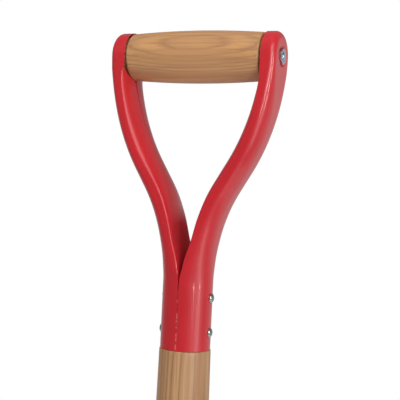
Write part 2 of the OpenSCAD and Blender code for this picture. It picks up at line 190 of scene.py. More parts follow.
# ---------------------------------------------------------------- materials
# A pattern's three rates are how often it changes in a metre along X, Y and Z
class Nodes:
    """A node tree: nodes are made with add(), and joined to each other's sockets."""

    def __init__(self, owner):
        owner.use_nodes = True
        self.tree = owner.node_tree
        self.tree.nodes.clear()

    def add(self, kind, values=None, **settings):
        node = self.tree.nodes.new(kind)
        for key, value in settings.items():
            setattr(node, key, value)
        for key, value in (values or {}).items():
            self.set(node.inputs[key], value)
        return node

    def set(self, socket, value):
        if isinstance(value, bpy.types.NodeSocket):
            self.tree.links.new(value, socket)
        else:
            socket.default_value = value

    def span(self, value, low, high, to_low=0.0, to_high=1.0, **settings):
        """A value taken from the range low to high over to the range to_low to to_high."""
        node = self.add("ShaderNodeMapRange", {"Value": value, "From Min": low, "From Max": high,
                                               "To Min": to_low, "To Max": to_high}, **settings)
        return node.outputs[0]

    def math(self, operation, a, b=0.0):
        return self.add("ShaderNodeMath", {0: a, 1: b}, operation=operation).outputs[0]

    def ramp(self, factor, stops, interpolation="LINEAR"):
        """A colour that goes through stops, given as (place, colour), as the factor grows."""
        node = self.add("ShaderNodeValToRGB", {"Fac": factor})
        band = node.color_ramp
        band.interpolation = interpolation
        while len(band.elements) < len(stops):
            band.elements.new(0.5)
        for element, (place, colour) in zip(band.elements, stops):
            element.position = place
            element.color = colour
        return node.outputs["Color"]


class Shader(Nodes):
    """A node material around one Principled shader, with its patterns in the piece's own space."""

    def __init__(self, name):
        self.material = bpy.data.materials.new(name)
        super().__init__(self.material)
        self.surface = self.add("ShaderNodeBsdfPrincipled")
        self.add("ShaderNodeOutputMaterial", {"Surface": self.surface.outputs[0]})
        self.object_space = self.add("ShaderNodeTexCoord").outputs["Object"]

    def mapped(self, scale, location=(0, 0, 0), source=None):
        node = self.add("ShaderNodeMapping", {"Vector": source or self.object_space,
                                              "Scale": scale, "Location": location})
        return node.outputs[0]

    def noise(self, vector, detail=3.0, roughness=0.5):
        node = self.add("ShaderNodeTexNoise", {"Vector": vector, "Scale": 1.0, "Detail": detail,
                                               "Roughness": roughness})
        return node.outputs["Fac"]

    def mix(self, factor, a, b):
        """Colour a, or colour b where the factor is 1."""
        return self.add("ShaderNodeMix", {"Factor": factor, 6: a, 7: b}, data_type="RGBA").outputs[2]

    def bump(self, height, strength, distance, normal=None):
        values = {"Height": height, "Strength": strength, "Distance": distance}
        if normal is not None:
            values["Normal"] = normal
        return self.add("ShaderNodeBump", values).outputs[0]

    def finish(self, **inputs):
        """Sets the Principled shader's inputs and returns the material."""
        for key, value in inputs.items():
            self.set(self.surface.inputs[key.replace("_", " ")], value)
        return self.material


def rgb(red, green, blue):
    """An opaque colour in linear values."""
    return (red, green, blue, 1.0)


def crotch_shade_and_thin_coat(s, spot):
    """1 on the sheet deep in the crotch, fading to 0 everywhere else. There it gives the enamel painted
    shade, a darker colour for the shade between the arms, and a thin dull coat.
    """
    gap_half = (9 * MM, 13 * MM)
    behind_lip = (15.5 * MM, 17.5 * MM)
    bottom = (GRIP_Z - 180 * MM, GRIP_Z - 160 * MM)
    top = (GRIP_Z - 125 * MM, GRIP_Z - 95 * MM)
    across = s.span(s.math("ABSOLUTE", spot.outputs["X"]), *gap_half, 1.0, 0.0)
    deep = s.span(s.math("ABSOLUTE", spot.outputs["Y"]), *behind_lip, 1.0, 0.0)
    above = s.span(spot.outputs["Z"], *bottom)
    below = s.span(spot.outputs["Z"], *top, 1.0, 0.0)
    return s.math("MULTIPLY", s.math("MULTIPLY", across, deep), s.math("MULTIPLY", above, below))


def seam_chips(s, spot):
    """Up to 0.5 where the enamel has chipped off the sheet's edges at the collar's seam, else 0."""
    seam_half = (0.25 * MM, 0.65 * MM)
    collar_top = (GRIP_Z - 178 * MM, GRIP_Z - 174 * MM)
    seam = s.span(s.math("ABSOLUTE", spot.outputs["X"]), *seam_half, 1.0, 0.0)
    collar = s.span(spot.outputs["Z"], *collar_top, 1.0, 0.0)
    flake = s.span(s.noise(s.mapped((300, 300, 450)), detail=2), 0.46, 0.58, 0.0, 0.5)
    return s.math("MULTIPLY", flake, s.math("MULTIPLY", seam, collar))


def enamel_material():
    """Glossy red enamel: a faint orange peel, cloudy depth of colour, painted shade and a thin dull coat in
    the crotch, and small chips along the collar's seam."""
    s = Shader("red_enamel")
    spot = s.add("ShaderNodeSeparateXYZ", {0: s.object_space})
    cloud = s.noise(s.mapped((22, 22, 14)), detail=4)
    fine = s.noise(s.mapped((260, 260, 260)), detail=2)
    peel = s.noise(s.mapped((420, 420, 420)), detail=1.5)
    # thin marks the crotch: painted shade in the colour, and a rougher, thinner coat
    thin = crotch_shade_and_thin_coat(s, spot)
    colour = s.ramp(cloud, [(0.3, rgb(0.51, 0.010, 0.018)), (0.7, rgb(0.59, 0.014, 0.022))])
    colour = s.mix(s.span(fine, 0.4, 0.7, 0.0, 0.2), colour, rgb(0.44, 0.008, 0.014))
    # Painted shade: the colour goes darker deep in the crotch, where the arms shade each other
    colour = s.mix(s.math("MULTIPLY", thin, 0.35), colour, rgb(0.30, 0.006, 0.012))
    colour = s.mix(seam_chips(s, spot), colour, rgb(0.66, 0.34, 0.28))
    waves = s.bump(s.noise(s.mapped((60, 60, 40)), detail=1), 0.02, 0.3 * MM)
    normal = s.bump(peel, 0.02, 0.1 * MM, waves)
    rough = s.math("ADD", s.span(cloud, 0.3, 0.7, 0.34, 0.42), s.math("MULTIPLY", thin, 0.5))
    coat = s.span(thin, 0.0, 1.0, 0.75, 0.0)
    return s.finish(Base_Color=colour, Roughness=rough, Normal=normal, IOR=1.45,
                    Coat_Weight=coat, Coat_Roughness=0.12, Coat_Normal=waves)


def ash_material(name, lengthways, ring_scale, drift, pith, light, mid, dark, sheen):
    """Turned ash: growth rings cut by the surface, rows of open pores, a thin satin lacquer.

    lengthways is the axis the grain runs along, 0 for X and 2 for Z; drift is how far the rings wander and
    how quickly they do it along the grain; pith moves the rings' middle; sheen is the lacquer's weight."""
    s = Shader(name)

    def along(across_rate, along_rate):
        rates = [across_rate] * 3
        rates[lengthways] = along_rate
        return s.mapped(rates)

    wander = s.span(s.noise(along(16, drift[1]), detail=3, roughness=0.6), 0.2, 0.8, -drift[0], drift[0])
    offset = s.add("ShaderNodeCombineXYZ")
    for k in range(3):
        if k != lengthways:
            s.set(offset.inputs[k], wander)
    warp = s.add("ShaderNodeVectorMath", {0: s.object_space, 1: offset.outputs[0]}, operation="ADD")
    ring_space = [1.0, 1.0, 1.0]
    ring_space[lengthways] = 0.05
    wave = s.add("ShaderNodeTexWave", {
        "Vector": s.mapped(ring_space, pith, warp.outputs[0]), "Scale": ring_scale, "Distortion": 2.4,
        "Detail": 4.0, "Detail Scale": 1.1, "Detail Roughness": 0.6},
        wave_type="RINGS", rings_direction="XYZ"[lengthways], wave_profile="SAW")
    ring = wave.outputs["Fac"]
    pores = s.noise(along(1100, 28), detail=2, roughness=0.6)
    streak = s.noise(along(620, 7), detail=3, roughness=0.6)
    band = s.noise(along(210, 3), detail=3)
    cloud = s.noise(along(26, 12), detail=2)
    line = s.mix(0.62, mid, dark)
    colour = s.ramp(ring, [(0.0, mid), (0.3, light), (0.7, light), (0.94, dark), (1.0, mid)])
    colour = s.mix(0.25, colour, light)
    colour = s.mix(s.span(band, 0.42, 0.62, 0.0, 0.85), colour, mid)
    colour = s.mix(s.span(streak, 0.46, 0.72, 0.0, 0.75), colour, line)
    early = s.span(ring, 0.5, 1.0, 0.25, 1.0)
    pore_mask = s.math("MULTIPLY", s.span(pores, 0.55, 0.70), early)
    colour = s.mix(s.math("MULTIPLY", pore_mask, 0.6), colour, dark)
    colour = s.mix(s.span(cloud, 0.35, 0.7, 0.0, 0.35), colour, light)
    height = s.math("SUBTRACT", s.math("MULTIPLY", streak, 0.3), pore_mask)
    normal = s.bump(height, 0.3, 0.1 * MM)
    rough = s.math("ADD", s.math("MULTIPLY", pore_mask, 0.2), s.span(cloud, 0.3, 0.7, 0.46, 0.58))
    return s.finish(Base_Color=colour, Roughness=rough, Normal=normal,
                    Coat_Weight=sheen, Coat_Roughness=0.25, IOR=1.5)


def zinc_material(name, tint, low, high):
    """Plated steel: a faint crystal mottling, cloudy tone and gloss, and fine scratches."""
    s = Shader(name)
    spangle = s.add("ShaderNodeTexVoronoi", {"Vector": s.mapped((420, 420, 420)), "Scale": 1.0})
    cloud = s.noise(s.mapped((300, 300, 300)), detail=3)
    scratch = s.noise(s.mapped((2600, 2600, 500)), detail=2)
    darker = rgb(*[0.62 * k for k in tint[:3]])
    shade = s.mix(s.span(cloud, 0.3, 0.7, 0.0, 0.5), tint, darker)
    shade = s.mix(s.math("MULTIPLY", spangle.outputs["Distance"], 0.25), shade, rgb(0.80, 0.84, 0.86))
    normal = s.bump(scratch, 0.25, 0.04 * MM)
    return s.finish(Base_Color=shade, Metallic=1.0, Roughness=s.span(cloud, 0.3, 0.7, low, high),
                    Normal=normal)


def ground_edge(s, ragged_by):
    """1 on the blade near its cutting edge, where grinding took the lacquer off, and 0 elsewhere."""
    foot_height = 75 * MM
    fade = (EDGE_R - 14.5 * MM, EDGE_R - 12.5 * MM)
    spot = s.add("ShaderNodeSeparateXYZ", {0: s.object_space})
    over_centre = s.math("SUBTRACT", spot.outputs["Z"], EDGE_R)
    flat = s.add("ShaderNodeCombineXYZ", {"X": spot.outputs["X"], "Z": over_centre})
    reach = s.add("ShaderNodeVectorMath", {0: flat.outputs[0]}, operation="LENGTH").outputs["Value"]
    low = s.math("LESS_THAN", spot.outputs["Z"], foot_height)
    return s.math("MULTIPLY", s.span(s.math("ADD", reach, ragged_by), *fade), low)


def blade_material(name, bare_edge):
    """Tempered steel under a dark lacquer, which is off along the ground edge if that is bare."""
    s = Shader(name)
    scale = s.noise(s.mapped((38, 38, 38)), detail=5, roughness=0.65)
    speck = s.noise(s.mapped((600, 600, 600)), detail=2)
    lacquer = s.ramp(scale, [(0.3, rgb(0.022, 0.024, 0.027)), (0.55, rgb(0.040, 0.043, 0.048)),
                             (0.75, rgb(0.062, 0.065, 0.070))])
    lacquer = s.mix(s.span(speck, 0.58, 0.75, 0.0, 0.5), lacquer, rgb(0.12, 0.115, 0.11))
    height = s.math("ADD", s.math("MULTIPLY", scale, 0.6), s.math("MULTIPLY", speck, 0.25))
    colour, metal = lacquer, 0.35
    if bare_edge:
        grain = s.noise(s.mapped((420, 420, 9)), detail=2)
        steel = s.ramp(grain, [(0.3, rgb(0.36, 0.37, 0.38)), (0.7, rgb(0.56, 0.57, 0.58))])
        bare = ground_edge(s, s.span(scale, 0.3, 0.7, -3 * MM, 3 * MM))
        colour = s.mix(bare, lacquer, steel)
        metal = s.math("ADD", s.math("MULTIPLY", bare, 0.65), metal)
    return s.finish(Base_Color=colour, Metallic=metal, Roughness=s.span(scale, 0.3, 0.7, 0.30, 0.46),
                    Normal=s.bump(height, 0.35, 0.2 * MM))


enamel = enamel_material()
grip_wood = ash_material(
    "grip_ash", lengthways=0, ring_scale=190, drift=(1.6 * MM, 9.0), pith=(0.0, -36 * MM, 18 * MM - GRIP_Z),
    light=rgb(0.58, 0.305, 0.120), mid=rgb(0.42, 0.207, 0.103), dark=rgb(0.25, 0.112, 0.050), sheen=0.1)
shaft_wood = ash_material(
    "shaft_ash", lengthways=2, ring_scale=100, drift=(5.0 * MM, 1.5), pith=(34 * MM, -21 * MM, 0.0),
    light=rgb(0.505, 0.292, 0.142), mid=rgb(0.37, 0.175, 0.070), dark=rgb(0.20, 0.074, 0.025), sheen=0.45)
zinc = zinc_material("zinc_plate", rgb(0.64, 0.78, 0.88), 0.12, 0.24)
rivet_steel = zinc_material("rivet_steel", rgb(0.42, 0.42, 0.39), 0.20, 0.34)
blade_steel = blade_material("blade_steel", True)
head_steel = blade_material("head_steel", False)

# ---------------------------------------------------------------- handle frame
# Outer line of an arm, from the grip's axis down: an arc inward, a leaning straight, an arc back to upright
UPPER_R = 172 * MM
LOWER_R = 113.5 * MM
LEAN = math.radians(30)
UPPER_LEN = UPPER_R * LEAN
LOWER_LEN = LOWER_R * LEAN
STRAIGHT = (EAR_X - COLLAR_R - (UPPER_R + LOWER_R) * (1 - math.cos(LEAN))) / math.sin(LEAN)
UPPER_END = (EAR_X - UPPER_R * (1 - math.cos(LEAN)), -UPPER_R * math.sin(LEAN))
ARM_LEN = UPPER_LEN + STRAIGHT + LOWER_LEN
ARM_END_Z = UPPER_END[1] - STRAIGHT * math.cos(LEAN) - LOWER_R * math.sin(LEAN)

# Section of an arm, in mm: drop below the grip's axis, reach of the flange, depth of the rolled inner face
# beyond it, half width, depth and width of the outer corner, bow of the outer face beyond the outer line
ARM_KEYS = [
    (0, 10.9, 0.3, 18.5, 5.0, 5.0, 0.0),
    (8, 10.9, 0.3, 18.5, 5.3, 5.3, 0.0),
    (10.6, 10.8, 0.6, 18.5, 5.4, 5.6, 0.1),
    (13, 10.2, 2.6, 18.5, 5.6, 6.2, 0.15),
    (20, 9.0, 4.0, 18.45, 6.2, 8.0, 0.4),
    (35, 8.6, 5.5, 18.3, 7.0, 12.0, 1.1),
    (55, 7.7, 7.5, 18.0, 7.2, 15.0, 1.6),
    (75, 7.7, 8.0, 17.7, 7.2, 15.0, 1.6),
    (95, 9.3, 6.5, 17.4, 7.4, 15.0, 1.4),
    (110, 11.1, 4.2, 17.6, 7.6, 15.0, 1.15),
    (125, 12.1, 2.1, 18.0, 8.6, 15.5, 1.0),
    (140, 13.0, 1.0, 18.3, 10.5, 16.0, 0.7),
    (155, 16.5, 1.0, 18.7, 15.0, 17.5, 0.3),
    (166, 18.4, 0.4, 19.0, 19.0, 19.0, 0.0),
    (173, 18.65, 0.3, 19.0, 19.0, 19.0, 0.0),
    (185, 18.78, 0.2, 19.0, 19.0, 19.0, 0.0),
    (195, 18.9, 0.08, 19.0, 19.0, 19.0, 0.0),
    (230, 18.9, 0.08, 19.0, 19.0, 19.0, 0.0),
]
WEB_STEPS, CORNER_STEPS, FLANGE_STEPS, LOBE_STEPS = 5, 16, 4, 30
ROLL_STEPS = 26
EAR_STEPS, NOTCH_STEPS, SHOULDER_STEPS, ARM_STEPS = 36, 18, 8, 120

# The fold of the flange is sharp down to FOLD_START, and has its full radius from FOLD_FULL on
FOLD_R, FOLD_STEPS = 0.9 * MM, 4
FOLD_START, FOLD_FULL = 105 * MM, 140 * MM

# The rolled edges leave a seam open under the grip, and have closed it and grown sharper at CLOSED_DROP
ARM_SEAM, CLOSED_SEAM = 1.7 * MM, 0.06 * MM
RIM_R, CLOSED_RIM_R = 0.35 * MM, 0.05 * MM
CLOSED_DROP = 85 * MM

# The free edge comes in over a shoulder to a round notch under the grip, runs down the seam, and goes out
# to the collar's own edge below the crotch
NOTCH_R = 18.9 * MM
LIP_TOP, LIP_SHOULDER = 10.6 * MM, 1.6 * MM
CROTCH_DROP, LIP_END_DROP = 166 * MM, 169 * MM
LEFT_EAR_EXTRA = 1.6 * MM
HOLLOW_R = 7.4 * MM


def arm_station(s):
    """Outer face of the right arm at a distance s down it: x, height over the grip's axis, lean."""
    if s < UPPER_LEN:
        a = s / UPPER_R
        return EAR_X - UPPER_R * (1 - math.cos(a)), -UPPER_R * math.sin(a), a
    if s < UPPER_LEN + STRAIGHT:
        d = s - UPPER_LEN
        return UPPER_END[0] - d * math.sin(LEAN), UPPER_END[1] - d * math.cos(LEAN), LEAN
    if s < ARM_LEN:
        a = (ARM_LEN - s) / LOWER_R
        return COLLAR_R + LOWER_R * (1 - math.cos(a)), ARM_END_Z + LOWER_R * math.sin(a), a
    return COLLAR_R, ARM_END_Z - (s - ARM_LEN), 0.0


def half_section(reach, lobe, half_w, outer, corner_w, bow, fold, edge):
    """One side of a rolled section, as points (inward, sideways) from the arm's outer line.

    It runs from the middle of the outer face, bow beyond that line, over an oval corner outer deep and
    corner_w wide and along the flange to a depth of reach, where it folds over with a radius of fold, and
    then round the rolled inner face, lobe deep, to sideways = edge."""
    room = reach + bow
    corner_turn = math.pi / 2 if outer <= room else math.acos((outer - room) / outer)
    corner_y = max(half_w - corner_w, 0.02 * MM)
    points = [Vector((-bow, corner_y * k / WEB_STEPS)) for k in range(WEB_STEPS)]
    for k in range(CORNER_STEPS + 1):
        a = corner_turn * k / CORNER_STEPS
        depth, width = outer * (1 - math.cos(a)), (half_w - corner_y) * math.sin(a)
        points.append(Vector((-bow + depth, corner_y + width)))
    start = points[-1]
    fold = min(fold, 0.8 * (reach - start.x))
    first = Vector((reach - fold, start.y))
    for k in range(1, FLANGE_STEPS + 1):
        points.append(start.lerp(first, k / (FLANGE_STEPS + 1)))
    roll = []
    for k in range(FOLD_STEPS):
        a = math.pi / 2 * k / FOLD_STEPS
        roll.append(first + Vector((fold * math.sin(a), fold * (math.cos(a) - 1))))
    for k in range(LOBE_STEPS + 1):
        a = math.pi / 2 * k / LOBE_STEPS
        roll.append(Vector((reach + lobe * math.sin(a), (start.y - fold) * math.cos(a))))
    return points + resample(cut_at(roll, edge), ROLL_STEPS)


def cut_at(path, edge):
    """The start of a path of points (inward, sideways), up to where it comes in to y = edge."""
    kept = [path[0]]
    for a, b in zip(path, path[1:]):
        if b.y < edge:
            t = (a.y - edge) / max(a.y - b.y, 1e-9)
            kept.append(a.lerp(b, clamp(max(t, 0.02))))
            break
        kept.append(b)
    return kept


def closing(drop):
    """0 at the grip, where the rolled edges stand apart, and 1 where they have met."""
    return clamp(drop / CLOSED_DROP) ** 2


def lip_edge(drop, half_w):
    """Distance of the sheet's free edge from the middle plane: a round notch, then the seam's half."""
    seam = ARM_SEAM + (CLOSED_SEAM - ARM_SEAM) * closing(drop)
    if drop < NOTCH_R:
        notch = max(math.sqrt(NOTCH_R ** 2 - drop ** 2), seam / 2)
        return half_w + (notch - half_w) * eased(clamp((drop - LIP_TOP) / LIP_SHOULDER))
    if drop < CROTCH_DROP:
        return seam / 2
    t = clamp((drop - CROTCH_DROP) / (LIP_END_DROP - CROTCH_DROP))
    return seam / 2 + (half_w - SHEET / 2 - seam / 2) * math.sin(t * math.pi / 2)


def half_ring(drop, side):
    """One side of the sheet at a drop: its outer skin to the free edge, the rim, and the inner skin back.

    The left ear is a little deeper than the right one, down to where its lip starts."""
    reach, lobe, half_w, outer, corner_w, bow = [
        smooth_keys(ARM_KEYS, drop / MM, column) * MM for column in range(1, 7)]
    if side < 0:
        reach += LEFT_EAR_EXTRA * clamp((LIP_TOP + LIP_SHOULDER - drop) / LIP_SHOULDER)
    rim_r = RIM_R + (CLOSED_RIM_R - RIM_R) * closing(drop)
    edge = lip_edge(drop, half_w) + rim_r
    fold = FOLD_R * clamp((drop - FOLD_START) / (FOLD_FULL - FOLD_START))
    skin = half_section(reach, lobe, half_w, outer, corner_w, bow, fold, edge)
    # The inner face is thinner where less than 1 mm of room would be left inside the roll
    thin = min(SHEET, reach + bow + lobe - SHEET - 1 * MM)
    lining = half_section(
        reach - thin, lobe, half_w - SHEET, outer - SHEET, corner_w - SHEET, bow - SHEET, fold, edge)
    return skin + rounded_rim(skin, lining[-1], rim_r) + lining[::-1]


def rounded_rim(skin, lining_end, radius):
    """Points over the sheet's free edge, from the end of the skin to the end of the lining."""
    ahead = (skin[-1] - skin[-2]).normalized()
    across = lining_end - skin[-1]
    rim = []
    for degrees, from_skin in ((30, True), (60, True), (90, True), (90, False), (60, False), (30, False)):
        a = math.radians(degrees)
        step = min(radius * (1 - math.cos(a)) / across.length, 0.49)
        rim.append(skin[-1] + ahead * (radius * math.sin(a)) + across * (step if from_skin else 1 - step))
    return rim


def frame_stations():
    """Distances down the arm, close together round the notch under the grip and even below it."""
    late = 0.1    # of a step, so that no station of the shoulder meets one of the notch
    notch = [NOTCH_R * math.sin(math.pi / 2 * k / NOTCH_STEPS) for k in range(NOTCH_STEPS)]
    shoulder = [LIP_TOP + LIP_SHOULDER * (k + late) / SHOULDER_STEPS for k in range(SHOULDER_STEPS + 1)]
    last = ARM_LEN + COLLAR_DROP + ARM_END_Z
    arm = [NOTCH_R + (last - NOTCH_R) * k / ARM_STEPS for k in range(ARM_STEPS + 1)]
    return sorted(notch + shoulder) + arm


def ear_rows(build, side):
    """Vertices of the ear's round top: rows across the sheet, from the back over the top to the front."""
    half = half_ring(0.0, side)
    skin_pole = build.verts.new((side * EAR_X, 0, GRIP_Z))
    lining_pole = build.verts.new((side * (EAR_X - SHEET), 0, GRIP_Z))
    rows = []
    for k in range(EAR_STEPS + 1):
        a = math.pi * k / EAR_STEPS
        row = [build.verts.new((side * (EAR_X - u), y * math.cos(a), GRIP_Z + y * math.sin(a)))
               for u, y in half[1:-1]]
        rows.append([skin_pole] + row + [lining_pole])
    return rows


def arm_rows(build, side, s):
    """The sheet's two sides at a distance s down the arm, as rows of vertices with the same two ends."""
    x, z, lean = arm_station(s)

    def spot(u, y):
        return side * (x - u * math.cos(lean)), y, GRIP_Z + z + u * math.sin(lean)

    half = half_ring(-z, side)
    one = [build.verts.new(spot(u, y)) for u, y in half]
    other = [build.verts.new(spot(u, -y)) for u, y in half[1:-1]]
    return one, [one[0]] + other + [one[-1]]


def close_foot(build, row):
    """Closes one side of the sheet at the collar's foot, from skin to lining and over the rim."""
    last = len(row) - 1
    skin_steps = WEB_STEPS + CORNER_STEPS + 1 + FLANGE_STEPS + ROLL_STEPS
    for k in range(skin_steps):
        build.faces.new((row[k], row[k + 1], row[last - k - 1], row[last - k]))
    build.faces.new(row[skin_steps:last - skin_steps + 1])


def frame_half(name, side, nodes):
    """One pressing: ear, rolled arm and half of the collar. side is 1 at the right and -1 at the left."""
    build = bmesh.new()
    ear = ear_rows(build, side)
    for a, b in zip(ear, ear[1:]):
        for k in range(len(a) - 1):
            poled_face(build, a[k], a[k + 1], b[k + 1], b[k])
    rows = [(ear[0], ear[-1])] + [arm_rows(build, side, s) for s in frame_stations()[1:]]
    for upper, lower in zip(rows, rows[1:]):
        for a, b in zip(upper, lower):
            for k in range(len(a) - 1):
                build.faces.new((a[k], a[k + 1], b[k + 1], b[k]))
    for row in rows[-1]:
        close_foot(build, row)
    piece = put(name, build, "tool", nodes, enamel, 60)
    if side == 1:
        press_hollow(piece)
    return piece


def press_hollow(piece):
    """Cuts the round hollow for the nut, with a soft rim, out of the ear's outer face."""
    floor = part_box("grip_nut")[0].x - EAR_X
    slope = [(-0.5 * MM, 1.0), (-0.1 * MM, 0.7), (0.1 * MM, 0.35), (0.6 * MM, 0.1)]
    mouth_r, clear, above = HOLLOW_R + 1.2 * MM, 0.02 * MM, 2 * MM
    outline = [(0.0, floor)] + [(HOLLOW_R + out, part * floor) for out, part in slope]
    outline += [(mouth_r, clear), (mouth_r, above), (0.0, above)]
    build = bmesh.new()
    revolve(build, outline, (EAR_X, 0, GRIP_Z), X_AXIS, 64)
    cutter = shape("hollow", build)
    cut = piece.modifiers.new("hollow", "BOOLEAN")
    cut.object = cutter
    cut.operation = "DIFFERENCE"
    cut.solver = "EXACT"
    cut.use_self = True    # without it the solver can return an empty mesh for this sheet
    bpy.context.view_layer.update()
    carved = piece.evaluated_get(bpy.context.evaluated_depsgraph_get())
    piece.data = bpy.data.meshes.new_from_object(carved)
    piece.modifiers.remove(cut)
    bpy.data.objects.remove(cutter)


frame_half("handle_frame_right", 1, ["frame_right_half"])
frame_half("handle_frame_left", -1, ["frame_left_half"])


# ---------------------------------------------------------------- grip, bolt and nut
def grip_piece():
    """Barrel-shaped cross grip with eased shoulders, turned ends inside the ears, and a bore."""
    low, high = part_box("grip")
    bore_r = 3.225 * MM
    spigot_r = 15.5 * MM
    chamfer = 1 * MM
    half_len = 52.9 * MM
    end_r = 17.8 * MM
    ease = 1.7 * MM
    barrel_steps = 28
    reach = half_len - ease
    mid_r = high.z - GRIP_Z
    bulge = mid_r - end_r
    curve_r = (half_len ** 2 + bulge ** 2) / (2 * bulge)
    barrel = []
    for k in range(-barrel_steps, barrel_steps + 1):
        x = reach * k / barrel_steps
        barrel.append((mid_r - curve_r + math.sqrt(curve_r ** 2 - x * x), x))
    right = arc((barrel[-1][0] - ease, reach), ease, 12, 90, 5)
    left = [(r, -x) for r, x in reversed(right)]
    profile = [(bore_r, low.x), (spigot_r - chamfer, low.x), (spigot_r, low.x + chamfer)]
    profile += [(spigot_r, -half_len)] + left + barrel + right + [(spigot_r, half_len)]
    profile += [(spigot_r, high.x - chamfer), (spigot_r - chamfer, high.x), (bore_r, high.x)]
    build = bmesh.new()
    rows = revolve(build, profile, AXIS_POINT, X_AXIS, 96)
    bridge(build, rows[-1], rows[0])
    return put("cross_grip", build, "grip", ["grip"], grip_wood, 50)


def bolt_piece():
    """Long bolt with a low domed head on the left ear and its chamfered end standing out of the nut."""
    low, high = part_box("grip_bolt")
    shank_r = 3.175 * MM
    pitch, thread_depth = 1.0 * MM, 0.28 * MM
    thread_start, thread_stop = EAR_X + 0.2 * MM, high.x - 0.5 * MM
    head_r = high.z - GRIP_Z
    head_h = -EAR_X - low.x
    dome_r = (head_r ** 2 + head_h ** 2) / (2 * head_h)
    rise = math.degrees(math.asin((dome_r - head_h) / dome_r))
    profile = [(0.0, low.x)]
    profile += [(r, -EAR_X + x) for r, x in arc((0, dome_r - head_h), dome_r, -87, -rise - 2, 9)]
    profile += [(head_r - 0.15 * MM, -EAR_X - 0.35 * MM), (head_r - 0.3 * MM, -EAR_X)]
    profile += [(shank_r, -EAR_X), (shank_r, EAR_X)]
    for k in range(int((thread_stop - EAR_X) / (pitch / 2))):
        profile.append((shank_r - thread_depth * (k % 2), thread_start + k * pitch / 2))
    profile += [(shank_r - 0.1 * MM, high.x - 0.45 * MM), (shank_r - 0.6 * MM, high.x)]
    profile += [(shank_r - 0.9 * MM, high.x), (0.0, high.x - 0.05 * MM)]
    build = bmesh.new()
    revolve(build, profile, AXIS_POINT, X_AXIS, 48)
    return put("grip_bolt_zinc", build, "tool", ["grip_bolt"], zinc, 35)


def nut_piece():
    """Thin hexagon nut, a corner up, with its outer corners chamfered to a cone and an eased bore."""
    low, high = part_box("grip_nut")
    bore_r, bore_ease = 3.2 * MM, 0.45 * MM
    foot_ease, corner_trim = 0.2 * MM, 0.12 * MM
    corner_r = high.z - GRIP_Z
    half_side = math.pi / 6
    flat_r = corner_r * math.cos(half_side)
    face_r = 0.97 * flat_r
    steps = 96
    rings = [[] for k in range(7)]
    for k in range(steps):
        # Measured from straight up, where a corner is; a side spans twice half_side
        turn = 2 * math.pi * k / steps + half_side
        wall_r = min(flat_r / math.cos(turn % (2 * half_side) - half_side), corner_r - corner_trim)
        chamfer = (wall_r - face_r) * math.tan(math.radians(30))
        points = [(bore_r, low.x), (wall_r - foot_ease, low.x), (wall_r, low.x + foot_ease),
                  (wall_r, high.x - chamfer), (face_r, high.x), (bore_r + bore_ease, high.x),
                  (bore_r, high.x - bore_ease)]
        for ring, (r, x) in zip(rings, points):
            ring.append(Vector((x, r * math.sin(turn), GRIP_Z + r * math.cos(turn))))
    build = bmesh.new()
    rows = loft(build, rings, cap=False)
    bridge(build, rows[-1], rows[0])
    return put("grip_nut_zinc", build, "tool", ["grip_nut"], zinc, 22)


grip_piece()
bolt_piece()
nut_piece()

# ---------------------------------------------------------------- rivets
RIVET_R = 2.4 * MM

# Heads as (radius, height): the full one, and the two hammered ones at the left of the collar
FULL_HEAD = (3.5 * MM, 2.2 * MM)
UPPER_TAIL = (2.9 * MM, 1.3 * MM)
LOWER_TAIL = (3.9 * MM, 2.2 * MM)


def dome(head_r, height, seat):
    """Outline of a rivet's head from its underside to its crown, as (radius, height over the wall)."""
    ease, rim_h, steps = 0.15 * MM, 0.25 * MM, 8
    points = [(head_r - ease, -seat), (head_r, -seat + ease), (head_r, rim_h)]
    for k in range(1, steps):
        a = math.pi / 2 * k / steps
        points.append((head_r * math.cos(a) ** 0.9, rim_h + (height - rim_h) * math.sin(a)))
    return points + [(0.0, height)]


def rivet(name, node, axis, right, left, wall):
    """Solid rivet along an axis through two walls, whose outer faces are at the distance wall from it."""
    low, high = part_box(node)
    seat = 0.6 * MM
    profile = [(r, -wall - h) for r, h in reversed(dome(*left, seat))]
    profile += [(RIVET_R, -wall + seat), (RIVET_R, wall - seat)]
    profile += [(r, wall + h) for r, h in dome(*right, seat)]
    build = bmesh.new()
    revolve(build, profile, (0, 0, (low.z + high.z) / 2), axis, 40)
    return put(name, build, "tool", [node], rivet_steel, 50)


def rivets():
    """Two rivets across the collar and two from front to back through the socket."""
    rivet("collar_rivet_top", "collar_rivet_upper", X_AXIS, FULL_HEAD, UPPER_TAIL, COLLAR_R)
    rivet("collar_rivet_bottom", "collar_rivet_lower", X_AXIS, FULL_HEAD, LOWER_TAIL, COLLAR_R)
    for name, node in (("socket_rivet_top", "socket_rivet_upper"),
                       ("socket_rivet_bottom", "socket_rivet_lower")):
        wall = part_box(node)[1].y - FULL_HEAD[1]
        rivet(name, node, Y_AXIS, FULL_HEAD, FULL_HEAD, wall)


rivets()

# ---------------------------------------------------------------- shaft
BLADE_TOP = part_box("blade")[1].z
SOCKET_LOW, SOCKET_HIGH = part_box("socket")
SOCKET_R = SOCKET_HIGH.x
SOCKET_FOOT_R = 14 * MM
SOCKET_WALL = 1.8 * MM


def socket_outer(z):
    """Outside radius of the socket's tube at a height."""
    return SOCKET_FOOT_R + (SOCKET_R - SOCKET_FOOT_R) * (z - BLADE_TOP) / (SOCKET_HIGH.z - BLADE_TOP)


def divided(profile, longest):
    """A profile of (radius, height) with its long straights divided, for even shading."""
    fine = [profile[0]]
    for (r0, z0), (r1, z1) in zip(profile, profile[1:]):
        parts = max(1, int((z1 - z0) / longest))
        fine += [(r0 + (r1 - r0) * k / parts, z0 + (z1 - z0) * k / parts) for k in range(1, parts + 1)]
    return fine


